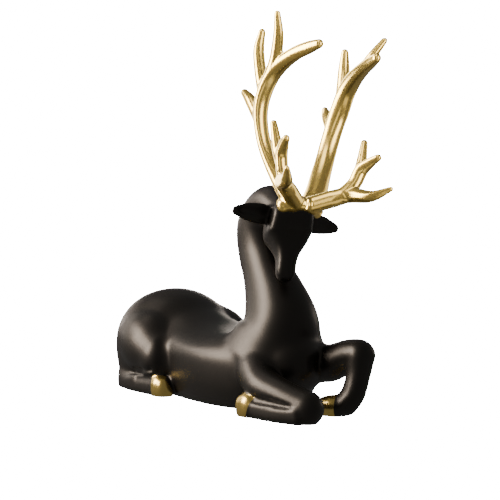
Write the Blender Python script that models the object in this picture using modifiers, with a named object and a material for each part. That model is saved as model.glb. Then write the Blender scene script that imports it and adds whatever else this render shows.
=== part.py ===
"""A reclining reindeer figurine: one black casting with painted hooves, and two gold antlers.

The figure lies on its belly with its head up. +X is the way it faces, +Y is its own left
side and +Z is up. The origin is on the flat underside, below the middle of the figure.
Its pose and proportions are written in units of a 23rd of its height, the way a sculptor
lays out a model, and its head has a frame of its own: forward, left and up from the point
on the brow where the two antlers meet.
"""
import math

import bmesh
import bpy
import numpy as np
from mathutils import Matrix, Vector

# Driving sizes, in metres
FIGURE_HEIGHT = 0.230
SEAT_GAP = 0.0003
BODY_GRAIN = 0.0011
ANTLER_GRAIN = 0.0006

# Facets kept on each casting
BODY_FACETS = 5200
ANTLER_FACETS = 2150

UNIT = FIGURE_HEIGHT / 23
RIGHT, LEFT = -1, 1

# The head looks a little to its right and leans its antlers to its left
HEAD_YAW = math.radians(-8)
HEAD_ROLL = math.radians(-10.5)
BROW = Vector((6.0, -0.2, 11.9))
HEAD_TURN = Matrix.Rotation(HEAD_YAW, 3, "Z") @ Matrix.Rotation(HEAD_ROLL, 3, "X")

# Colours, as red, green, blue and alpha
BLACK = (0.012, 0.011, 0.010, 1)
GOLD = (0.72, 0.50, 0.22, 1)


def material(name, colour, metallic, roughness):
    """A plain painted finish."""
    made = bpy.data.materials.new(name)
    made.use_nodes = True
    shader = made.node_tree.nodes["Principled BSDF"]
    shader.inputs["Base Color"].default_value = colour
    shader.inputs["Metallic"].default_value = metallic
    shader.inputs["Roughness"].default_value = roughness
    made.diffuse_color = colour
    return made


def spread(rows, count):
    """Rows of numbers read as one smooth curve, at evenly spread places along it."""
    rows = np.asarray(rows, dtype=float)
    padded = np.vstack([2 * rows[0] - rows[1], rows, 2 * rows[-1] - rows[-2]])
    steps = np.linspace(0, len(rows) - 1, count)
    span = np.minimum(steps.astype(int), len(rows) - 2)
    t = (steps - span)[:, None]
    a, b, c, d = (padded[span + k] for k in range(4))
    return 0.5 * (2 * b + (c - a) * t + (2 * a - 5 * b + 4 * c - d) * t ** 2
                  + (3 * b - a - 3 * c + d) * t ** 3)


def bent(value, power):
    """A signed power, which turns a circle into a rounder or a more angular section."""
    return math.copysign(abs(value) ** power, value)


def loft(bm, rings):
    """A closed body through rings of equally many points."""
    loops = [[bm.verts.new(Vector(point) * UNIT) for point in ring] for ring in rings]
    count = len(loops[0])
    for low, high in zip(loops, loops[1:]):
        for i in range(count):
            j = (i + 1) % count
            bm.faces.new((low[i], low[j], high[j], high[i]))
    bm.faces.new(list(reversed(loops[0])))
    bm.faces.new(loops[-1])


def limb(bm, rows, lie=(0, 0, 1), points=32, count=40, fullness=2.0):
    """A limb with round ends.

    Each row is a place and two half thicknesses: along lie, and across it.
    """
    rows = spread(rows, count)
    centres, along, across = rows[:, :3], rows[:, 3], rows[:, 4]
    headings = np.gradient(centres, axis=0)
    headings /= np.linalg.norm(headings, axis=1)[:, None]
    turns = np.linspace(0, 2 * math.pi, points, endpoint=False)
    section = [(bent(math.cos(a), 2 / fullness), bent(math.sin(a), 2 / fullness)) for a in turns]

    def ring(k, ahead, share):
        side = np.cross(headings[k], lie)
        side /= np.linalg.norm(side)
        up = np.cross(side, headings[k])
        centre = centres[k] + ahead * headings[k]
        return [centre + share * (across[k] * c * side + along[k] * s * up) for c, s in section]

    quarter = np.linspace(0, math.pi / 2, 7)[:-1]
    tail = min(along[0], across[0])
    nose = min(along[-1], across[-1])
    rings = [ring(0, -tail * math.sin(a), math.cos(a)) for a in quarter[::-1]]
    rings += [ring(k, 0, 1) for k in range(1, count - 1)]
    rings += [ring(count - 1, nose * math.sin(a), math.cos(a)) for a in quarter]
    loft(bm, rings)


def barrel(bm, rows, points=64, count=60):
    """The trunk.

    Each row is x, half width, the top, widest and lowest heights, and how full its back is.
    """
    turns = np.linspace(0, 2 * math.pi, points, endpoint=False)
    rings = []
    for x, width, top, middle, bottom, fullness in spread(rows, count):
        ring = []
        for a in turns:
            s, c = math.sin(a), math.cos(a)
            if s > 0:
                ring.append((x, width * bent(c, 2 / fullness),
                             middle + (top - middle) * bent(s, 2 / fullness)))
            else:
                ring.append((x, width * bent(c, 0.8), middle + (middle - bottom) * bent(s, 0.8)))
        rings.append(ring)
    loft(bm, rings)


def on_head(rows, side=LEFT):
    """Rows in the head's own frame, with left counted outward on the given side."""
    return [tuple(BROW + HEAD_TURN @ Vector((f, side * l, u))) + tuple(rest)
            for f, l, u, *rest in rows]


def head_way(f, l, u):
    return tuple(HEAD_TURN @ Vector((f, l, u)))


def add_trunk(bm):
    barrel(bm, [(-11.0, 0.3, 3.8, 3.0, 1.8, 2.0), (-10.8, 1.8, 4.8, 2.8, 0.9, 2.1),
                (-10.3, 3.0, 5.45, 2.7, 0.0, 2.1), (-9.3, 3.7, 6.0, 2.8, -0.8, 2.1),
                (-8.0, 3.9, 6.2, 3.0, -1.3, 2.0), (-6.5, 3.65, 5.85, 3.0, -1.5, 1.9),
                (-5.0, 3.15, 5.05, 2.8, -1.4, 1.95), (-3.0, 3.35, 4.42, 2.8, -1.4, 2.1),
                (-1.0, 3.5, 4.28, 2.8, -1.4, 2.1), (1.0, 3.35, 4.5, 2.7, -1.3, 2.1),
                (3.0, 2.95, 4.7, 2.6, -0.6, 2.1), (4.4, 2.3, 4.6, 2.9, 0.6, 1.9),
                (5.4, 1.8, 4.4, 3.0, 1.2, 2.0), (6.0, 1.2, 3.9, 3.0, 1.9, 2.0),
                (6.3, 0.3, 3.4, 3.0, 2.4, 2.0)])
    for side in (RIGHT, LEFT):
        limb(bm, [(-7.8, side * 1.95, 2.95, 2.3, 2.25), (-6.6, side * 2.5, 2.75, 2.15, 1.95),
                  (-5.2, side * 2.9, 2.25, 1.6, 1.4)])


def add_tail(bm):
    limb(bm, [(-10.3, 0, 4.7, 0.5, 0.55), (-11.0, 0, 4.3, 0.45, 0.55), (-11.5, 0, 3.6, 0.4, 0.5),
              (-11.65, 0, 2.9, 0.22, 0.26)], lie=(1, 0, 0))


def add_neck(bm):
    limb(bm, [(2.95, 0, 3.4, 2.95, 2.85), (3.2, 0, 4.36, 2.45, 2.55),
              (3.3, 0, 5.2, 2.02, 2.4), (2.83, 0, 6.4, 1.64, 2.04), (2.03, 0, 7.8, 1.31, 1.63),
              (1.27, 0, 9.1, 1.12, 1.5), (1.07, 0, 10.3, 1.08, 1.46), (1.55, 0, 11.2, 1.1, 1.4),
              (2.6, -0.05, 11.75, 1.15, 1.28), (3.8, -0.1, 11.4, 1.2, 1.2)], lie=(0, 1, 0), count=70,
         fullness=2.3)


def add_head(bm):
    limb(bm, on_head([(-3.2, 0, 0.0, 1.05, 1.15), (-2.4, 0, -0.15, 1.05, 1.2),
                      (-1.8, 0, -0.45, 1.0, 1.25), (-1.2, 0, -0.85, 0.9, 1.25)]))
    limb(bm, on_head([(-1.6, 0, -0.8, 1.4, 1.24), (-1.55, 0, -1.7, 1.32, 1.3), (-1.4, 0, -2.15, 1.12, 1.12),
                      (-1.2, -0.04, -2.65, 0.86, 0.8), (-1.0, -0.1, -3.1, 0.7, 0.6),
                      (-0.9, -0.12, -3.5, 0.62, 0.57), (-0.85, -0.12, -3.95, 0.62, 0.58)]),
         lie=head_way(0.956, -0.292, 0), fullness=6)


def add_ear(bm, side):
    limb(bm, on_head([(-1.9, 0.9, -0.78, 0.3, 0.3), (-1.9, 1.6, -0.8, 0.58, 0.3),
                      (-1.95, 2.6, -0.82, 0.52, 0.24), (-1.95, 3.4, -0.88, 0.26, 0.16)], side),
         lie=head_way(0, 0, 1))


def add_hind_leg(bm, side):
    limb(bm, [(-8.85, side * 3.0, 0.5, 0.82, 0.8), (-8.0, side * 3.22, 0.42, 0.62, 0.72),
              (-6.9, side * 3.34, 0.48, 0.6, 0.68), (-4.9, side * 3.42, 0.62, 0.68, 0.6)], fullness=4)
    limb(bm, [(-4.9, side * 3.4, 0.5, 0.64, 0.56), (-4.45, side * 3.42, 0.5, 0.8, 0.64),
              (-4.1, side * 3.38, 0.44, 0.76, 0.6)], fullness=2.6)


def add_folded_foreleg(bm):
    limb(bm, [(4.0, -2.1, 2.3, 1.3, 1.2), (5.2, -2.5, 1.75, 1.05, 1.05),
              (7.0, -2.4, 1.35, 0.9, 0.9), (8.72, -2.05, 0.8, 1.02, 0.93)])
    limb(bm, [(8.55, -2.25, 0.5, 0.6, 0.9), (7.2, -2.7, 0.45, 0.6, 0.8), (5.5, -3.12, 0.5, 0.62, 0.6)],
         fullness=3.5)
    limb(bm, [(5.5, -3.1, 0.5, 0.62, 0.58), (5.0, -3.22, 0.52, 0.86, 0.66), (4.55, -3.27, 0.46, 0.8, 0.62)],
         fullness=2.6)


def add_raised_foreleg(bm):
    limb(bm, [(4.4, 1.5, 2.65, 1.15, 1.0), (6.0, 1.7, 2.8, 1.1, 1.0), (7.4, 1.85, 3.4, 0.92, 0.9),
              (8.4, 1.9, 3.6, 0.85, 0.85)])
    limb(bm, [(8.4, 1.9, 3.55, 0.87, 0.85), (8.45, 1.75, 2.4, 0.66, 0.66), (8.3, 1.5, 1.3, 0.66, 0.64),
              (8.0, 1.2, 0.7, 0.66, 0.66)], lie=(1, 0, 0), fullness=2.6)
    limb(bm, [(7.9, 1.15, 0.6, 0.62, 0.66), (7.45, 0.82, 0.5, 0.7, 0.7), (7.1, 0.6, 0.46, 0.66, 0.64)])


# Each branch is rows of forward, outward, up and two half thicknesses, from the brow
ANTLER = {
    "foot": [(-0.05, 0.1, 0.12, 0.36, 0.4), (-0.3, 0.72, 0.12, 0.5, 0.56), (-0.55, 1.1, -0.12, 0.4, 0.46)],
    "beam": [(-0.45, 0.6, 0.1, 0.7, 0.58), (-1.0, 1.13, 1.0, 0.66, 0.52), (-1.65, 1.6, 2.0, 0.62, 0.45),
             (-2.15, 2.0, 3.0, 0.58, 0.41), (-2.45, 2.28, 4.0, 0.57, 0.4), (-2.55, 2.48, 5.0, 0.57, 0.41),
             (-2.35, 2.56, 6.0, 0.59, 0.43), (-1.85, 2.5, 7.05, 0.57, 0.45), (-1.0, 2.38, 7.83, 0.53, 0.46),
             (0.15, 2.22, 8.38, 0.45, 0.42), (1.15, 2.05, 8.66, 0.39, 0.39), (2.0, 1.9, 8.86, 0.27, 0.29)],
    "crown": [(-1.7, 2.65, 7.2, 0.38, 0.42), (-1.25, 2.75, 8.0, 0.36, 0.4), (-0.68, 3.12, 9.3, 0.3, 0.33),
              (-0.3, 3.58, 10.35, 0.2, 0.2)],
    "back": [(-2.4, 2.6, 6.2, 0.4, 0.4), (-2.9, 2.8, 7.5, 0.38, 0.37), (-3.25, 2.9, 8.6, 0.36, 0.34),
             (-3.35, 2.83, 9.65, 0.24, 0.22)],
    "rear": [(-2.5, 2.42, 4.4, 0.38, 0.36), (-3.05, 2.52, 5.0, 0.36, 0.38), (-3.85, 2.62, 5.7, 0.34, 0.36),
             (-4.5, 2.76, 6.15, 0.22, 0.24)],
    "brow": [(-0.2, 0.5, 0.15, 0.5, 0.5), (0.4, 1.4, 0.65, 0.52, 0.52), (1.0, 2.2, 1.05, 0.46, 0.48),
             (2.4, 2.75, 1.1, 0.36, 0.34), (3.4, 3.35, 1.65, 0.16, 0.16)],
    "stem": [(0.7, 1.8, 0.9, 0.42, 0.42), (1.0, 2.35, 1.7, 0.42, 0.36), (1.1, 2.6, 2.5, 0.42, 0.34),
             (1.6, 2.85, 3.05, 0.31, 0.31), (2.05, 3.0, 3.35, 0.23, 0.23)],
    "spur": [(1.0, 2.5, 2.1, 0.34, 0.36), (0.75, 2.75, 2.9, 0.33, 0.34), (0.3, 3.0, 4.2, 0.22, 0.22)],
}


def add_antler(bm, side):
    for rows in ANTLER.values():
        limb(bm, on_head(rows, side), lie=head_way(0.5, side * 0.87, 0.1), points=24, fullness=1.8)


def mesh_object(name, collection, *makers):
    """One object that holds what each maker adds to it."""
    bm = bmesh.new()
    for make in makers:
        make(bm)
    mesh = bpy.data.meshes.new(name)
    bm.to_mesh(mesh)
    bm.free()
    made = bpy.data.objects.new(name, mesh)
    collection.objects.link(made)
    return made


def settle(obj):
    """Makes what the modifiers give the object's own mesh."""
    view = bpy.context.evaluated_depsgraph_get()
    mesh = bpy.data.meshes.new_from_object(obj.evaluated_get(view))
    obj.modifiers.clear()
    spent = obj.data
    obj.data = mesh
    bpy.data.meshes.remove(spent)


def soften(obj, rounds, group=""):
    smooth = obj.modifiers.new("soften", "SMOOTH")
    smooth.factor = 0.5
    smooth.iterations = rounds
    smooth.vertex_group = group


def fuse(obj, grain, rounds):
    """Runs the overlapping forms into one skin and rounds the creases between them."""
    skin = obj.modifiers.new("fuse", "REMESH")
    skin.mode = "VOXEL"
    skin.voxel_size = grain
    soften(obj, rounds)
    settle(obj)


def ease(value, low, high):
    """0 below low, 1 above high, and a smooth rise between them."""
    t = min(max((value - low) / (high - low), 0), 1)
    return t * t * (3 - 2 * t)


def melting(place):
    """How far the skin is melted at a place: fully on trunk and neck, not on legs or head."""
    legs = max(ease(place.z, 1.1, 2.0), 1 - ease(place.x, -8.4, -7.0))
    forelegs = ease(place.x, 4.8, 6.0) * (1 - ease(place.z, 3.2, 4.2))
    head = ease(place.z, 9.0, 10.5)
    return legs * (1 - forelegs) * (1 - head)


def melt(obj, rounds):
    """Blends the large masses into each other."""
    group = obj.vertex_groups.new(name="melting")
    for vertex in obj.data.vertices:
        group.add([vertex.index], melting(vertex.co / UNIT), "REPLACE")
    soften(obj, rounds, group.name)
    settle(obj)
    obj.vertex_groups.clear()


def facet(obj, facets):
    """Brings the skin down to the given number of triangles."""
    reduce = obj.modifiers.new("facet", "DECIMATE")
    reduce.ratio = facets / (2 * len(obj.data.polygons))
    settle(obj)


def cut(obj, cutter):
    boolean = obj.modifiers.new("cut", "BOOLEAN")
    boolean.operation = "DIFFERENCE"
    boolean.solver = "EXACT"
    boolean.object = cutter


def block(name, collection, size, place, turn):
    """A cutter with its top face, seen along its own Z, at the given place."""
    bm = bmesh.new()
    bmesh.ops.create_cube(bm, size=1)
    for vertex in bm.verts:
        vertex.co = turn @ (Vector((0, 0, -size / 2)) + vertex.co * size) + place
    mesh = bpy.data.meshes.new(name)
    bm.to_mesh(mesh)
    bm.free()
    made = bpy.data.objects.new(name, mesh)
    collection.objects.link(made)
    return as_cutter(made)


def as_cutter(obj):
    obj.hide_render = True
    obj.display_type = "WIRE"
    return obj


def make_body(figure, cutters, black):
    body = mesh_object("body", figure, add_trunk, add_tail, add_neck, add_head,
                       lambda bm: add_ear(bm, RIGHT), lambda bm: add_ear(bm, LEFT),
                       lambda bm: add_hind_leg(bm, RIGHT), lambda bm: add_hind_leg(bm, LEFT),
                       add_folded_foreleg, add_raised_foreleg)
    fuse(body, BODY_GRAIN, 4)
    melt(body, 38)
    facet(body, BODY_FACETS)
    ground = block("ground_cutter", cutters, 2 * FIGURE_HEIGHT, Vector(), Matrix.Identity(3))
    cut(body, ground)
    settle(body)
    body.data.materials.append(black)
    body.data.shade_smooth()
    return body


def make_seat(body, cutters):
    """The body's own skin, grown by the gap, which shapes the underside of each antler."""
    seat = bpy.data.objects.new("seat_cutter", body.data.copy())
    cutters.objects.link(seat)
    grow = seat.modifiers.new("grow", "DISPLACE")
    grow.strength = SEAT_GAP
    grow.mid_level = 0
    return as_cutter(seat)


def make_antler(name, side, figure, cutters, seat, gold):
    antler = mesh_object(name, figure, lambda bm: add_antler(bm, side))
    fuse(antler, ANTLER_GRAIN, 5)
    facet(antler, ANTLER_FACETS)
    outward = HEAD_TURN @ Vector((0, side, 0))
    turn = outward.to_track_quat("Z", "Y").to_matrix()
    parting = block(name + "_parting", cutters, FIGURE_HEIGHT, BROW * UNIT + outward * SEAT_GAP / 2, turn)
    cut(antler, seat)
    cut(antler, parting)
    settle(antler)
    antler.data.materials.append(gold)
    antler.data.shade_smooth()
    return antler


def main():
    for old in list(bpy.data.objects):
        bpy.data.objects.remove(old)
    figure = bpy.data.collections.new("reindeer_figurine")
    cutters = bpy.data.collections.new("cutters")
    for collection in (figure, cutters):
        bpy.context.scene.collection.children.link(collection)
    black = material("black_paint", BLACK, 0, 0.45)
    gold = material("gold_paint", GOLD, 1, 0.3)
    body = make_body(figure, cutters, black)
    seat = make_seat(body, cutters)
    make_antler("antler_right", RIGHT, figure, cutters, seat, gold)
    make_antler("antler_left", LEFT, figure, cutters, seat, gold)


main()
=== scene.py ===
"""The looks of a reclining reindeer figurine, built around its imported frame.

Two finishes are on it: a satin black paint on the body, and a satin gold on the antlers and
the four hooves. The skins have the same forms as the frame's solids, made with a finer grain.
Soft strokes are then worked into the body: hollow ears with a rim, the eyes and cheeks, and the
recesses and edges along the folded legs.
Forms are written in units of a 23rd of the figure's height. The head has its own frame:
forward, left and up from the point on the brow where the two antlers meet.
"""
import math

import bmesh
import bpy
import numpy as np
from mathutils import Matrix, Vector


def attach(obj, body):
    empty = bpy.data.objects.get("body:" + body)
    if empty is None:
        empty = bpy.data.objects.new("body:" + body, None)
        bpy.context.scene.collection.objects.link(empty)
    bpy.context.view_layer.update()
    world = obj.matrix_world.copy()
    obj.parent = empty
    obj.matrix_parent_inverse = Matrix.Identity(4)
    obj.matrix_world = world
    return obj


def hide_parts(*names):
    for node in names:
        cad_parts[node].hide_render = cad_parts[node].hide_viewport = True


FIGURE_HEIGHT = 0.230
UNIT = FIGURE_HEIGHT / 23
RIGHT, LEFT = -1, 1

# How fine the skins are, in metres, and how many rounds of smoothing they get
BODY_GRAIN = 0.00086
BODY_ROUNDING = 5
BODY_MELTING = 80
ANTLER_GRAIN = 0.00042
ANTLER_ROUNDING = 14

# How far one round of smoothing goes, and in how many steps its weight rises
SMOOTHING = 0.5
MELTING_LEVELS = 32

# Faces that meet at more than this keep a sharp edge between them
SHARP_ANGLE = math.radians(50)

# The dark lines under the antlers and between them, in metres
SEAT_GAP = 0.0005
PARTING_GAP = 0.0009

# Points of the solid that are nearer to each other than this become one
WELD = 0.000001

# How full a section is: 2 is round, more is squarer, and less leans towards a diamond
ROUND = 2.0
BELLY_FULLNESS = 2.5
ANTLER_FULLNESS = 1.75

# How many rings make the round end of a limb, and how many steps the bend of the paper
CAP_RINGS = 8
BEND_STEPS = 16

# The skin faces a way once this share of its normal points along it
FACING_SHARE = 0.5

HEAD_YAW = math.radians(-8)
HEAD_ROLL = math.radians(-10.5)
BROW = Vector((6.0, -0.2, 11.9))
HEAD_TURN = Matrix.Rotation(HEAD_YAW, 3, "Z") @ Matrix.Rotation(HEAD_ROLL, 3, "X")

# The photograph's view: where the camera stands, what it looks at, and its lens
CAMERA_PLACE = Vector((0.7866, -0.5490, 0.1542))
CAMERA_TARGET = Vector((0.00255, 0.0, 0.09086))
LENS_MM = 115.2
SENSOR_MM = 36

WARM_LIGHT = (1.0, 0.9, 0.8)
GOLDEN_LIGHT = (1.0, 0.89, 0.6)
ROOM_STRENGTH = 0.14
PAPER_STRENGTH = 30.0

# Soft boxes for the black body and for the gold antlers: the angle round the figure from the
# way that it faces, the angle up, the distance, width and height, and the radiance
BLACK_LIGHTS = {
    "side_box": (-122, 20, 1.1, 0.5, 0.62, 17.5),
    "flank_card": (-148, 26, 1.2, 0.3, 0.4, 7),
    "back_card": (-172, 12, 1.5, 1.0, 0.7, 1.2),
    "rear_card": (147, 4, 1.5, 1.4, 0.24, 5),
    "right_card": (88, 6, 1.3, 0.5, 0.35, 1.5),
    "top_card": (-165, 55, 1.3, 0.6, 0.4, 0.9),
}
GOLD_LIGHTS = {
    "gold_side": (-125, 14, 1.3, 0.7, 1.6, 30),
    "gold_back": (165, 8, 1.3, 0.6, 1.4, 9),
    "gold_front": (-45, 8, 1.3, 0.3, 1.6, 2.2),
    "gold_ahead": (12, 10, 1.3, 0.45, 1.4, 10),
    "gold_far": (85, 0, 1.3, 0.6, 1.5, 2),
    "gold_top": (-60, 70, 1.3, 0.7, 0.7, 5),
    "gold_low": (-10, -50, 1.3, 1.0, 0.6, 1),
}

# Each branch is rows of forward, outward, up and two half thicknesses, from the brow
ANTLER = {
    "foot": [(-0.05, 0.1, 0.12, 0.36, 0.4), (-0.3, 0.72, 0.12, 0.5, 0.56), (-0.55, 1.1, -0.12, 0.4, 0.46)],
    "beam": [(-0.45, 0.6, 0.1, 0.7, 0.58), (-1.0, 1.13, 1.0, 0.66, 0.52), (-1.65, 1.6, 2.0, 0.62, 0.45),
             (-2.15, 2.0, 3.0, 0.58, 0.41), (-2.45, 2.28, 4.0, 0.57, 0.4), (-2.55, 2.48, 5.0, 0.57, 0.41),
             (-2.35, 2.56, 6.0, 0.59, 0.43), (-1.85, 2.5, 7.05, 0.57, 0.45), (-1.0, 2.38, 7.83, 0.53, 0.46),
             (0.15, 2.22, 8.38, 0.45, 0.42), (1.15, 2.05, 8.66, 0.39, 0.39), (2.0, 1.9, 8.86, 0.27, 0.29)],
    "crown": [(-1.7, 2.65, 7.2, 0.38, 0.42), (-1.25, 2.75, 8.0, 0.36, 0.4), (-0.68, 3.12, 9.3, 0.3, 0.33),
              (-0.3, 3.58, 10.35, 0.2, 0.2)],
    "back": [(-2.4, 2.6, 6.2, 0.4, 0.4), (-2.9, 2.8, 7.5, 0.38, 0.37), (-3.25, 2.9, 8.6, 0.36, 0.34),
             (-3.35, 2.83, 9.65, 0.24, 0.22)],
    "rear": [(-2.5, 2.42, 4.4, 0.38, 0.36), (-3.05, 2.52, 5.0, 0.36, 0.38), (-3.85, 2.62, 5.7, 0.34, 0.36),
             (-4.5, 2.76, 6.15, 0.22, 0.24)],
    "brow": [(-0.2, 0.5, 0.15, 0.5, 0.5), (0.4, 1.4, 0.65, 0.52, 0.52), (1.0, 2.2, 1.05, 0.46, 0.48),
             (2.4, 2.75, 1.1, 0.36, 0.34), (3.4, 3.35, 1.65, 0.16, 0.16)],
    "stem": [(0.7, 1.8, 0.9, 0.42, 0.42), (1.0, 2.35, 1.7, 0.42, 0.36), (1.1, 2.6, 2.5, 0.42, 0.34),
             (1.6, 2.85, 3.05, 0.31, 0.31), (2.05, 3.0, 3.35, 0.23, 0.23)],
    "spur": [(1.0, 2.5, 2.1, 0.34, 0.36), (0.75, 2.75, 2.9, 0.33, 0.34), (0.3, 3.0, 4.2, 0.22, 0.22)],
}

# Each hoof's paint: where it starts, the way it goes, the toe, and how far from the line to the
# toe it reaches. Only faces near the toe are cut, and only those that face outward are painted.
HOOVES = [
    ((-4.6, -3.5, 0.5), (1, 0, 0.1), (-4.3, -3.5, 0.45), 0.83),
    ((-4.6, 3.5, 0.5), (1, 0, 0.1), (-4.3, 3.5, 0.45), 0.83),
    ((5.3, -3.18, 0.5), (-1, -0.1, 0.35), (4.5, -3.32, 0.54), 0.87),
    ((7.62, 0.95, 0.55), (-1, -0.6, 0.0), (6.95, 0.5, 0.45), 0.8),
]
NEAR_TOE = 2.5
OUTWARD_SHARE = 0.5


def spread(rows, count):
    """Rows of numbers read as one smooth curve, at evenly spread places along it."""
    rows = np.asarray(rows, dtype=float)
    padded = np.vstack([2 * rows[0] - rows[1], rows, 2 * rows[-1] - rows[-2]])
    steps = np.linspace(0, len(rows) - 1, count)
    span = np.minimum(steps.astype(int), len(rows) - 2)
    t = (steps - span)[:, None]
    a, b, c, d = (padded[span + k] for k in range(4))
    return 0.5 * (2 * b + (c - a) * t + (2 * a - 5 * b + 4 * c - d) * t ** 2
                  + (3 * b - a - 3 * c + d) * t ** 3)


def bent(value, fullness):
    """A sine or cosine, changed so that a circle drawn with it becomes a fuller or leaner section."""
    return math.copysign(abs(value) ** (2 / fullness), value)


def loft(bm, rings):
    """A closed body through rings of equally many points."""
    loops = [[bm.verts.new(Vector(point) * UNIT) for point in ring] for ring in rings]
    count = len(loops[0])
    for low, high in zip(loops, loops[1:]):
        for i in range(count):
            j = (i + 1) % count
            bm.faces.new((low[i], low[j], high[j], high[i]))
    bm.faces.new(list(reversed(loops[0])))
    bm.faces.new(loops[-1])


def limb(bm, rows, lie=(0, 0, 1), points=48, count=60, fullness=ROUND):
    """A limb with round ends.

    Each row is a place and two half thicknesses: along lie, and across it.
    """
    rows = spread(rows, count)
    centres, along, across = rows[:, :3], rows[:, 3], rows[:, 4]
    headings = np.gradient(centres, axis=0)
    headings /= np.linalg.norm(headings, axis=1)[:, None]
    turns = np.linspace(0, 2 * math.pi, points, endpoint=False)
    section = [(bent(math.cos(a), fullness), bent(math.sin(a), fullness)) for a in turns]

    def ring(k, ahead, share):
        side = np.cross(headings[k], lie)
        side /= np.linalg.norm(side)
        up = np.cross(side, headings[k])
        centre = centres[k] + ahead * headings[k]
        return [centre + share * (across[k] * c * side + along[k] * s * up) for c, s in section]

    quarter = np.linspace(0, math.pi / 2, CAP_RINGS, endpoint=False)
    tail = min(along[0], across[0])
    nose = min(along[-1], across[-1])
    rings = [ring(0, -tail * math.sin(a), math.cos(a)) for a in quarter[::-1]]
    rings += [ring(k, 0, 1) for k in range(1, count - 1)]
    rings += [ring(count - 1, nose * math.sin(a), math.cos(a)) for a in quarter]
    loft(bm, rings)


def barrel(bm, rows, points=96, count=90):
    """The trunk.

    Each row is x, half width, the top, widest and lowest heights, and how full its back is.
    """
    turns = np.linspace(0, 2 * math.pi, points, endpoint=False)
    rings = []
    for x, width, top, middle, bottom, back_fullness in spread(rows, count):
        back = (back_fullness, top - middle)
        belly = (BELLY_FULLNESS, middle - bottom)
        ring = []
        for a in turns:
            s, c = math.sin(a), math.cos(a)
            fullness, reach = back if s > 0 else belly
            ring.append((x, width * bent(c, fullness), middle + reach * bent(s, fullness)))
        rings.append(ring)
    loft(bm, rings)


def head_way(forward, left, up):
    """A direction in the head's own frame, turned into the figure's."""
    return tuple(HEAD_TURN @ Vector((forward, left, up)))


def on_head(rows, side=LEFT):
    """Rows in the head's own frame, with left counted outward on the given side."""
    return [tuple(BROW + HEAD_TURN @ Vector((forward, side * out, up))) + tuple(rest)
            for forward, out, up, *rest in rows]


def add_trunk(bm):
    """The barrel of the trunk, and a thigh on each side of it."""
    barrel(bm, [(-11.0, 0.3, 3.8, 3.0, 1.8, 2.0), (-10.8, 1.8, 4.8, 2.8, 0.9, 2.1),
                (-10.3, 3.0, 5.45, 2.7, 0.0, 2.1), (-9.3, 3.7, 6.0, 2.8, -0.8, 2.1),
                (-8.0, 3.9, 6.2, 3.0, -1.3, 2.0), (-6.5, 3.65, 5.85, 3.0, -1.5, 1.9),
                (-5.0, 3.15, 5.05, 2.8, -1.4, 1.95), (-3.0, 3.35, 4.42, 2.8, -1.4, 2.1),
                (-1.0, 3.5, 4.28, 2.8, -1.4, 2.1), (1.0, 3.35, 4.5, 2.7, -1.3, 2.1),
                (3.0, 2.95, 4.7, 2.6, -0.6, 2.1), (4.4, 2.3, 4.6, 2.9, 0.6, 1.9),
                (5.4, 1.8, 4.4, 3.0, 1.2, 2.0), (6.0, 1.2, 3.9, 3.0, 1.9, 2.0),
                (6.3, 0.3, 3.4, 3.0, 2.4, 2.0)])
    for side in (RIGHT, LEFT):
        limb(bm, [(-7.8, side * 1.95, 2.95, 2.3, 2.25), (-6.6, side * 2.5, 2.75, 2.15, 1.95),
                  (-5.2, side * 2.9, 2.25, 1.6, 1.4)])


def add_tail(bm):
    limb(bm, [(-10.3, 0, 4.7, 0.5, 0.55), (-11.0, 0, 4.3, 0.45, 0.55), (-11.5, 0, 3.6, 0.4, 0.5),
              (-11.65, 0, 2.9, 0.22, 0.26)], lie=(1, 0, 0))


def add_neck(bm):
    limb(bm, [(2.95, 0, 3.4, 2.95, 2.85), (3.2, 0, 4.36, 2.45, 2.55),
              (3.3, 0, 5.2, 2.02, 2.4), (2.83, 0, 6.4, 1.64, 2.04), (2.03, 0, 7.8, 1.31, 1.63),
              (1.27, 0, 9.1, 1.12, 1.5), (1.07, 0, 10.3, 1.08, 1.46), (1.55, 0, 11.2, 1.1, 1.4),
              (2.6, -0.05, 11.75, 1.15, 1.28), (3.8, -0.1, 11.4, 1.2, 1.2)],
         lie=(0, 1, 0), count=100, fullness=2.3)


def add_head(bm):
    """The back of the skull, and the long face with its muzzle."""
    limb(bm, on_head([(-3.2, 0, 0.0, 1.05, 1.15), (-2.4, 0, -0.15, 1.05, 1.2),
                      (-1.8, 0, -0.45, 1.0, 1.25), (-1.2, 0, -0.85, 0.9, 1.25)]))
    limb(bm, on_head([(-1.6, 0, -0.8, 1.4, 1.24), (-1.55, 0, -1.7, 1.32, 1.3),
                      (-1.4, 0, -2.15, 1.12, 1.12), (-1.2, -0.04, -2.65, 0.86, 0.8),
                      (-1.0, -0.1, -3.1, 0.7, 0.6), (-0.9, -0.12, -3.5, 0.62, 0.57),
                      (-0.85, -0.12, -3.95, 0.62, 0.58)]),
         lie=head_way(0.956, -0.292, 0), fullness=6)


def add_ears(bm):
    for side in (RIGHT, LEFT):
        limb(bm, on_head([(-1.9, 0.9, -0.78, 0.3, 0.3), (-1.9, 1.6, -0.8, 0.58, 0.3),
                          (-1.95, 2.6, -0.82, 0.52, 0.24), (-1.95, 3.4, -0.88, 0.26, 0.16)], side),
             lie=head_way(0, 0, 1))


def add_hind_legs(bm):
    """Each folded hind leg from the hock forward, and its hoof."""
    for side in (RIGHT, LEFT):
        limb(bm, [(-8.85, side * 3.0, 0.5, 0.82, 0.8), (-8.0, side * 3.22, 0.42, 0.62, 0.72),
                  (-6.9, side * 3.34, 0.48, 0.6, 0.68), (-4.9, side * 3.42, 0.62, 0.68, 0.6)],
             fullness=4)
        limb(bm, [(-4.9, side * 3.4, 0.5, 0.64, 0.56), (-4.45, side * 3.42, 0.5, 0.8, 0.64),
                  (-4.1, side * 3.38, 0.44, 0.76, 0.6)], fullness=2.6)


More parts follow.
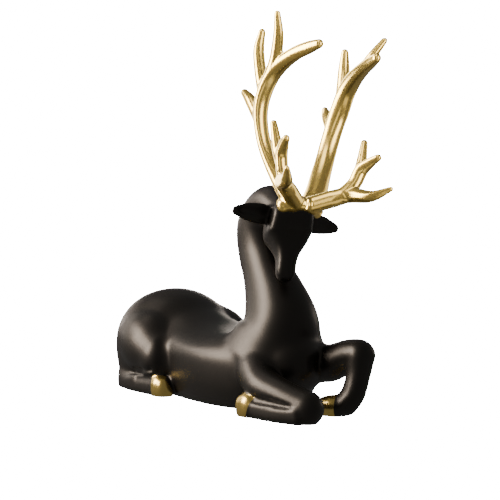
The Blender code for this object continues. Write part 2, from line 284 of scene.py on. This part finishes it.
def add_folded_foreleg(bm):
    """The near foreleg: down to the knee, back along the ground, and its hoof."""
    limb(bm, [(4.0, -2.1, 2.3, 1.3, 1.2), (5.2, -2.5, 1.75, 1.05, 1.05),
              (7.0, -2.4, 1.35, 0.9, 0.9), (8.72, -2.05, 0.8, 1.02, 0.93)])
    limb(bm, [(8.55, -2.25, 0.5, 0.6, 0.9), (7.2, -2.7, 0.45, 0.6, 0.8), (5.5, -3.12, 0.5, 0.62, 0.6)],
         fullness=3.5)
    limb(bm, [(5.5, -3.1, 0.5, 0.62, 0.58), (5.0, -3.22, 0.52, 0.86, 0.66),
              (4.55, -3.27, 0.46, 0.8, 0.62)], fullness=2.6)


def add_raised_foreleg(bm):
    """The far foreleg: forward to the raised knee, down to the ground, and its hoof."""
    limb(bm, [(4.4, 1.5, 2.65, 1.15, 1.0), (6.0, 1.7, 2.8, 1.1, 1.0), (7.4, 1.85, 3.4, 0.92, 0.9),
              (8.4, 1.9, 3.6, 0.85, 0.85)])
    limb(bm, [(8.4, 1.9, 3.55, 0.87, 0.85), (8.45, 1.75, 2.4, 0.66, 0.66), (8.3, 1.5, 1.3, 0.66, 0.64),
              (8.0, 1.2, 0.7, 0.66, 0.66)], lie=(1, 0, 0), fullness=2.6)
    limb(bm, [(7.9, 1.15, 0.6, 0.62, 0.66), (7.45, 0.82, 0.5, 0.7, 0.7), (7.1, 0.6, 0.46, 0.66, 0.64)])


def add_antler(bm, side):
    for rows in ANTLER.values():
        limb(bm, on_head(rows, side), lie=head_way(0.5, side * 0.87, 0.1), points=36,
             fullness=ANTLER_FULLNESS)


def make_object(name, *makers):
    """One object that holds what each maker adds to it."""
    bm = bmesh.new()
    for make in makers:
        make(bm)
    mesh = bpy.data.meshes.new(name)
    bm.to_mesh(mesh)
    bm.free()
    made = bpy.data.objects.new(name, mesh)
    bpy.context.scene.collection.objects.link(made)
    return made


def rework(obj, change):
    """Runs one change on the object's own mesh."""
    bm = bmesh.new()
    bm.from_mesh(obj.data)
    change(bm)
    bm.to_mesh(obj.data)
    bm.free()


def settle(obj):
    """Makes what the modifiers give the object's own mesh."""
    view = bpy.context.evaluated_depsgraph_get()
    mesh = bpy.data.meshes.new_from_object(obj.evaluated_get(view))
    obj.modifiers.clear()
    spent = obj.data
    obj.data = mesh
    bpy.data.meshes.remove(spent)


def soften(obj, rounds, group=""):
    smooth = obj.modifiers.new("soften", "SMOOTH")
    smooth.factor = SMOOTHING
    smooth.iterations = rounds
    smooth.vertex_group = group


def fuse(obj, grain, rounds):
    """Runs the overlapping forms into one skin and rounds the creases between them."""
    skin = obj.modifiers.new("fuse", "REMESH")
    skin.mode = "VOXEL"
    skin.voxel_size = grain
    soften(obj, rounds)
    settle(obj)


def ease(value, low, high):
    """0 below low, 1 above high, and a smooth rise between them."""
    t = np.clip((value - low) / (high - low), 0, 1)
    return t * t * (3 - 2 * t)


def point_values(obj, attribute):
    """What each point of the skin has, as rows of three numbers."""
    flat = np.empty(3 * len(obj.data.vertices), dtype=np.float32)
    obj.data.vertices.foreach_get(attribute, flat)
    return flat.reshape(-1, 3)


def places(obj):
    """Where the skin's points are, in the figure's units."""
    return point_values(obj, "co") / UNIT


def move(obj, points):
    obj.data.vertices.foreach_set("co", (points * UNIT).astype(np.float32).ravel())
    obj.data.update()


def melt(obj, rounds):
    """Blends the trunk and neck into each other, and leaves the legs and head crisp."""
    x, y, z = places(obj).T
    off_hind_legs = np.maximum(ease(z, 1.1, 2.0), 1 - ease(x, -8.4, -7.0))
    forelegs = ease(x, 4.8, 6.0) * (1 - ease(z, 3.2, 4.2))
    head = ease(z, 9.0, 10.5)
    weights = off_hind_legs * (1 - forelegs) * (1 - head)
    group = obj.vertex_groups.new(name="melting")
    for level in range(1, MELTING_LEVELS + 1):
        chosen = np.nonzero(np.round(weights * MELTING_LEVELS) == level)[0]
        group.add(chosen.tolist(), level / MELTING_LEVELS, "REPLACE")
    soften(obj, rounds, group.name)
    settle(obj)
    obj.vertex_groups.clear()


def near_path(points, path):
    """How far each point is from a chain of straight runs."""
    path = np.asarray(path, dtype=float)
    nearest = np.full(len(points), np.inf)
    for a, b in zip(path, path[1:]):
        run = b - a
        t = np.clip((points - a) @ run / (run @ run), 0, 1)
        nearest = np.minimum(nearest, np.linalg.norm(points - a - t[:, None] * run, axis=1))
    return nearest


def stroke(obj, path, width, height, facing=None):
    """Raises a soft line on the skin, or presses it in where the height is below zero.

    Where a way is given, only the skin that faces it is moved.
    """
    points, out = places(obj), point_values(obj, "normal")
    weight = np.exp(-(near_path(points, path) / width) ** 2)
    if facing is not None:
        weight *= ease(out @ np.asarray(facing, dtype=float), 0, FACING_SHARE)
    move(obj, points + out * (height * weight)[:, None])


def ear_hollows(obj):
    """Scoops out the front of each ear and leaves a rim round it."""
    ahead = head_way(1, 0, 0)
    for side in (RIGHT, LEFT):
        deep = on_head([(-1.7, 1.35, -0.78), (-1.7, 2.1, -0.75), (-1.75, 2.9, -0.76)], side)
        shallow = on_head([(-1.7, 1.3, -0.78), (-1.75, 3.3, -0.78)], side)
        upper_rim = on_head([(-1.7, 1.0, -0.42), (-1.72, 1.6, -0.24), (-1.75, 2.5, -0.3),
                             (-1.8, 3.3, -0.58)], side)
        lower_rim = on_head([(-1.7, 1.2, -1.25), (-1.72, 1.7, -1.3), (-1.75, 2.6, -1.2),
                             (-1.8, 3.3, -0.98)], side)
        stroke(obj, deep, width=0.3, height=-0.24, facing=ahead)
        stroke(obj, shallow, width=0.2, height=-0.08, facing=ahead)
        stroke(obj, upper_rim, width=0.14, height=0.12)
        stroke(obj, lower_rim, width=0.12, height=0.08)


def face_relief(obj):
    """Soft raised eyes, and a slight hollow in each cheek."""
    for side in (RIGHT, LEFT):
        eye = on_head([(-0.75, 1.12, -0.95), (-0.85, 1.2, -1.25)], side)
        cheek = on_head([(-0.35, 0.78, -1.0), (-0.45, 0.85, -1.45)], side)
        stroke(obj, eye, width=0.2, height=0.05)
        stroke(obj, cheek, width=0.22, height=-0.05)


def leg_creases(obj):
    """The recesses and edges along the folded lower legs, and the crease before each thigh."""
    for side in (RIGHT, LEFT):
        above_leg = [(-6.8, side * 4.0, 1.35), (-6.2, side * 4.05, 1.43), (-4.7, side * 4.0, 1.62)]
        edge = [(-7.0, side * 4.0, 1.05), (-6.2, side * 4.0, 1.14), (-4.7, side * 3.95, 1.34)]
        hollow = [(-6.4, side * 4.05, 0.9), (-4.9, side * 4.0, 1.0)]
        before_thigh = [(-4.3, side * 3.4, 3.9), (-4.2, side * 3.5, 2.9), (-4.1, side * 3.6, 1.7)]
        stroke(obj, above_leg, width=0.16, height=-0.12)
        stroke(obj, edge, width=0.12, height=0.05)
        stroke(obj, hollow, width=0.22, height=-0.08)
        stroke(obj, before_thigh, width=0.3, height=-0.08)
    above_foreleg = [(5.7, -3.7, 1.1), (7.0, -3.4, 1.05), (8.3, -2.95, 0.9)]
    foreleg_edge = [(6.0, -3.75, 0.9), (7.2, -3.35, 0.82), (8.2, -3.0, 0.7)]
    stroke(obj, above_foreleg, width=0.2, height=-0.16)
    stroke(obj, foreleg_edge, width=0.07, height=0.04)


def cut_off_below(bm):
    """Cuts the skin off flat at the ground and closes it."""
    everything = bm.verts[:] + bm.edges[:] + bm.faces[:]
    bmesh.ops.bisect_plane(bm, geom=everything, plane_co=Vector((0, 0, 0)), plane_no=Vector((0, 0, 1)),
                           clear_inner=True)
    rim = [edge for edge in bm.edges if edge.is_boundary]
    bmesh.ops.triangle_fill(bm, edges=rim, use_beauty=True, normal=Vector((0, 0, -1)))


def gild_hooves(bm):
    """Gives the toe side of each hoof the second material, up to a clean edge."""
    for start, way, toe, reach in HOOVES:
        start, way, toe = Vector(start), Vector(way), Vector(toe)
        faces = [face for face in bm.faces
                 if (face.calc_center_median() / UNIT - toe).length < NEAR_TOE]
        edges = dict.fromkeys(edge for face in faces for edge in face.edges)
        verts = dict.fromkeys(vert for face in faces for vert in face.verts)
        bmesh.ops.bisect_plane(bm, geom=[*faces, *edges, *verts], plane_co=start * UNIT, plane_no=way)
        axis = toe - start
        for face in bm.faces:
            place = face.calc_center_median() / UNIT - start
            away = place - axis * min(max(place.dot(axis) / axis.length_squared, 0), 1)
            outward = away.dot(face.normal) > OUTWARD_SHARE * away.length
            if outward and place.dot(way) > 0 and away.length < reach:
                face.material_index = 1


def satin(name, tones, roughness, cloud_scale, grain_scale, grain_depth):
    """A sprayed satin finish.

    Slow clouds take the colour from one tone to the other and the roughness from its lowest to
    its highest, and a fine grain makes the surface a little uneven.
    """
    made = bpy.data.materials.new(name)
    made.use_nodes = True
    nodes, links = made.node_tree.nodes, made.node_tree.links
    shader = nodes["Principled BSDF"]
    place = nodes.new("ShaderNodeTexCoord")
    clouds = nodes.new("ShaderNodeTexNoise")
    clouds.inputs["Scale"].default_value = cloud_scale
    clouds.inputs["Detail"].default_value = 4
    tone = nodes.new("ShaderNodeValToRGB")
    for element, colour in zip(tone.color_ramp.elements, tones):
        element.color = (*colour, 1)
    sheen = nodes.new("ShaderNodeMapRange")
    sheen.inputs["To Min"].default_value, sheen.inputs["To Max"].default_value = roughness
    grain = nodes.new("ShaderNodeTexNoise")
    grain.inputs["Scale"].default_value = grain_scale
    grain.inputs["Detail"].default_value = 3
    bump = nodes.new("ShaderNodeBump")
    bump.inputs["Strength"].default_value = 0.12
    bump.inputs["Distance"].default_value = grain_depth
    links.new(place.outputs["Object"], clouds.inputs["Vector"])
    links.new(place.outputs["Object"], grain.inputs["Vector"])
    links.new(clouds.outputs["Fac"], tone.inputs["Fac"])
    links.new(clouds.outputs["Fac"], sheen.inputs["Value"])
    links.new(grain.outputs["Fac"], bump.inputs["Height"])
    links.new(tone.outputs["Color"], shader.inputs["Base Color"])
    links.new(sheen.outputs["Result"], shader.inputs["Roughness"])
    links.new(bump.outputs["Normal"], shader.inputs["Normal"])
    return made


def black_paint():
    """Satin black paint over a casting."""
    made = satin("satin_black", tones=[(0.0045, 0.004, 0.0034), (0.0075, 0.0067, 0.0057)],
                 roughness=(0.36, 0.42), cloud_scale=45, grain_scale=900, grain_depth=0.00008)
    shader = made.node_tree.nodes["Principled BSDF"]
    shader.inputs["Specular IOR Level"].default_value = 0.6
    shader.inputs["Specular Tint"].default_value = (1.0, 0.89, 0.78, 1)
    return made


def gold_paint():
    """Satin gold, a little uneven as sprayed metal is."""
    made = satin("satin_gold", tones=[(0.82, 0.57, 0.15), (0.91, 0.67, 0.21)],
                 roughness=(0.2, 0.28), cloud_scale=120, grain_scale=1100, grain_depth=0.00006)
    made.node_tree.nodes["Principled BSDF"].inputs["Metallic"].default_value = 0.95
    return made


def dress(obj, *materials):
    """Gives the skin its materials, and smooth shading up to its sharp edges."""
    for material in materials:
        obj.data.materials.append(material)
    obj.data.shade_smooth()
    obj.data.set_sharp_from_angle(angle=SHARP_ANGLE)


def make_body(black, gold):
    body = make_object("body_skin", add_trunk, add_tail, add_neck, add_head, add_ears,
                       add_hind_legs, add_folded_foreleg, add_raised_foreleg)
    fuse(body, BODY_GRAIN, BODY_ROUNDING)
    melt(body, BODY_MELTING)
    ear_hollows(body)
    face_relief(body)
    leg_creases(body)
    rework(body, cut_off_below)
    rework(body, gild_hooves)
    dress(body, black, gold)
    return body


def make_seat(frame):
    """The solid body's skin, grown by the gap, which shapes the underside of each antler."""
    seat = bpy.data.objects.new("seat", frame["nodes"]["body"].data.copy())
    bpy.context.scene.collection.objects.link(seat)
    rework(seat, lambda bm: bmesh.ops.remove_doubles(bm, verts=bm.verts, dist=WELD))
    grow = seat.modifiers.new("grow", "DISPLACE")
    grow.strength = SEAT_GAP
    grow.mid_level = 0
    settle(seat)
    return seat


def half_space(name, place, way):
    """A cutter that fills the side of a plane that the way points away from."""
    size = 2 * FIGURE_HEIGHT
    turn = Vector(way).to_track_quat("Z", "Y").to_matrix()

    def add_block(bm):
        bmesh.ops.create_cube(bm, size=1)
        for vertex in bm.verts:
            vertex.co = turn @ (Vector((0, 0, -size / 2)) + vertex.co * size) + place

    return make_object(name, add_block)


def cut(obj, cutter):
    boolean = obj.modifiers.new("cut", "BOOLEAN")
    boolean.operation = "DIFFERENCE"
    boolean.solver = "EXACT"
    boolean.object = cutter
    settle(obj)


def make_antler(name, side, seat, gold):
    """An antler, cut to its seat and to the parting, and kept out of the body's reflections."""
    antler = make_object(name, lambda bm: add_antler(bm, side))
    fuse(antler, ANTLER_GRAIN, ANTLER_ROUNDING)
    outward = HEAD_TURN @ Vector((0, side, 0))
    parting = half_space(name + "_parting", BROW * UNIT + outward * PARTING_GAP / 2, outward)
    cut(antler, seat)
    cut(antler, parting)
    bpy.data.objects.remove(parting)
    dress(antler, gold)
    antler.visible_glossy = False
    antler.visible_diffuse = False
    return antler


def make_sweep():
    """A pale studio sweep of shining paper: floor, curve and wall."""
    half_width, front, back, bend, top = 9.0, 9.0, 1.6, 1.0, 3.0
    away = (CAMERA_TARGET - CAMERA_PLACE).to_2d().normalized()
    profile = [(-front, 0.0), (back, 0.0)]
    profile += [(back + bend * math.sin(a), bend - bend * math.cos(a))
                for a in np.linspace(0, math.pi / 2, BEND_STEPS + 1)[1:]]
    profile += [(back + bend, top)]

    def add_paper(bm):
        rows = []
        for side in (-half_width, half_width):
            rows.append([bm.verts.new((away.x * d - away.y * side, away.y * d + away.x * side, z))
                         for d, z in profile])
        for k in range(len(profile) - 1):
            bm.faces.new((rows[0][k], rows[0][k + 1], rows[1][k + 1], rows[1][k]))
        bmesh.ops.recalc_face_normals(bm, faces=bm.faces)

    sweep = make_object("sweep", add_paper)
    sweep.data.shade_smooth()
    pale = bpy.data.materials.new("pale_paper")
    pale.use_nodes = True
    shader = pale.node_tree.nodes["Principled BSDF"]
    shader.inputs["Base Color"].default_value = (0.92, 0.92, 0.92, 1)
    shader.inputs["Roughness"].default_value = 0.9
    shader.inputs["Emission Color"].default_value = (1, 1, 1, 1)
    shader.inputs["Emission Strength"].default_value = PAPER_STRENGTH
    sweep.data.materials.append(pale)
    sweep.visible_diffuse = False
    sweep.visible_glossy = False
    sweep.visible_shadow = False


def make_camera():
    data = bpy.data.cameras.new("photo_camera")
    data.lens = LENS_MM
    data.sensor_width = SENSOR_MM
    camera = bpy.data.objects.new("photo_camera", data)
    bpy.context.scene.collection.objects.link(camera)
    camera.location = CAMERA_PLACE
    camera.rotation_euler = (CAMERA_TARGET - CAMERA_PLACE).to_track_quat("-Z", "Y").to_euler()
    bpy.context.scene.camera = camera


def add_light(name, azimuth, elevation, distance, width, height, radiance, colour, receivers):
    """A soft box that faces the figure, and shines on one collection of pieces."""
    turn, lift = math.radians(azimuth), math.radians(elevation)
    way = Vector((math.cos(lift) * math.cos(turn), math.cos(lift) * math.sin(turn), math.sin(lift)))
    data = bpy.data.lights.new(name, "AREA")
    data.shape = "RECTANGLE"
    data.size = width
    data.size_y = height
    data.energy = radiance * math.pi * width * height
    data.color = colour
    lamp = bpy.data.objects.new(name, data)
    bpy.context.scene.collection.objects.link(lamp)
    lamp.location = CAMERA_TARGET + distance * way
    lamp.rotation_euler = (-way).to_track_quat("-Z", "Y").to_euler()
    lamp.visible_camera = False
    lamp.light_linking.receiver_collection = receivers


def add_lights(lights, colour, group, members):
    """Soft boxes for the members of a group, which is a collection outside the scene."""
    receivers = bpy.data.collections.new(group)
    for member in members:
        receivers.objects.link(member)
    for name, numbers in lights.items():
        add_light(name, *numbers, colour, receivers)


def make_room():
    """A little even light from all round."""
    world = bpy.data.worlds.new("studio")
    world.use_nodes = True
    background = world.node_tree.nodes["Background"]
    background.inputs["Color"].default_value = (1, 1, 1, 1)
    background.inputs["Strength"].default_value = ROOM_STRENGTH
    bpy.context.scene.world = world


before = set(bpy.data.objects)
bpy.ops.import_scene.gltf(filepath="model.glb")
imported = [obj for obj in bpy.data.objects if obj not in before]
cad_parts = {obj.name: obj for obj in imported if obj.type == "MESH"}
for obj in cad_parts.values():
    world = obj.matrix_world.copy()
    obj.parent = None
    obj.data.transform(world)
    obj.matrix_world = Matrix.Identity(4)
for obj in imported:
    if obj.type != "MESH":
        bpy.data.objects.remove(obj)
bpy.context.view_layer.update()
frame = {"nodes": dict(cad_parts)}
make_camera()
make_sweep()
black, gold = black_paint(), gold_paint()
body = make_body(black, gold)
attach(body, "root")
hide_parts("body")
seat = make_seat(frame)
antlers = []
for node, side in (("antler_right", RIGHT), ("antler_left", LEFT)):
    antler = make_antler(node + "_skin", side, seat, gold)
    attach(antler, "root")
    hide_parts(node)
    antlers.append(antler)
bpy.data.objects.remove(seat)
add_lights(BLACK_LIGHTS, WARM_LIGHT, "lit_as_black", [body])
add_lights(GOLD_LIGHTS, GOLDEN_LIGHT, "lit_as_gold", antlers)
make_room()
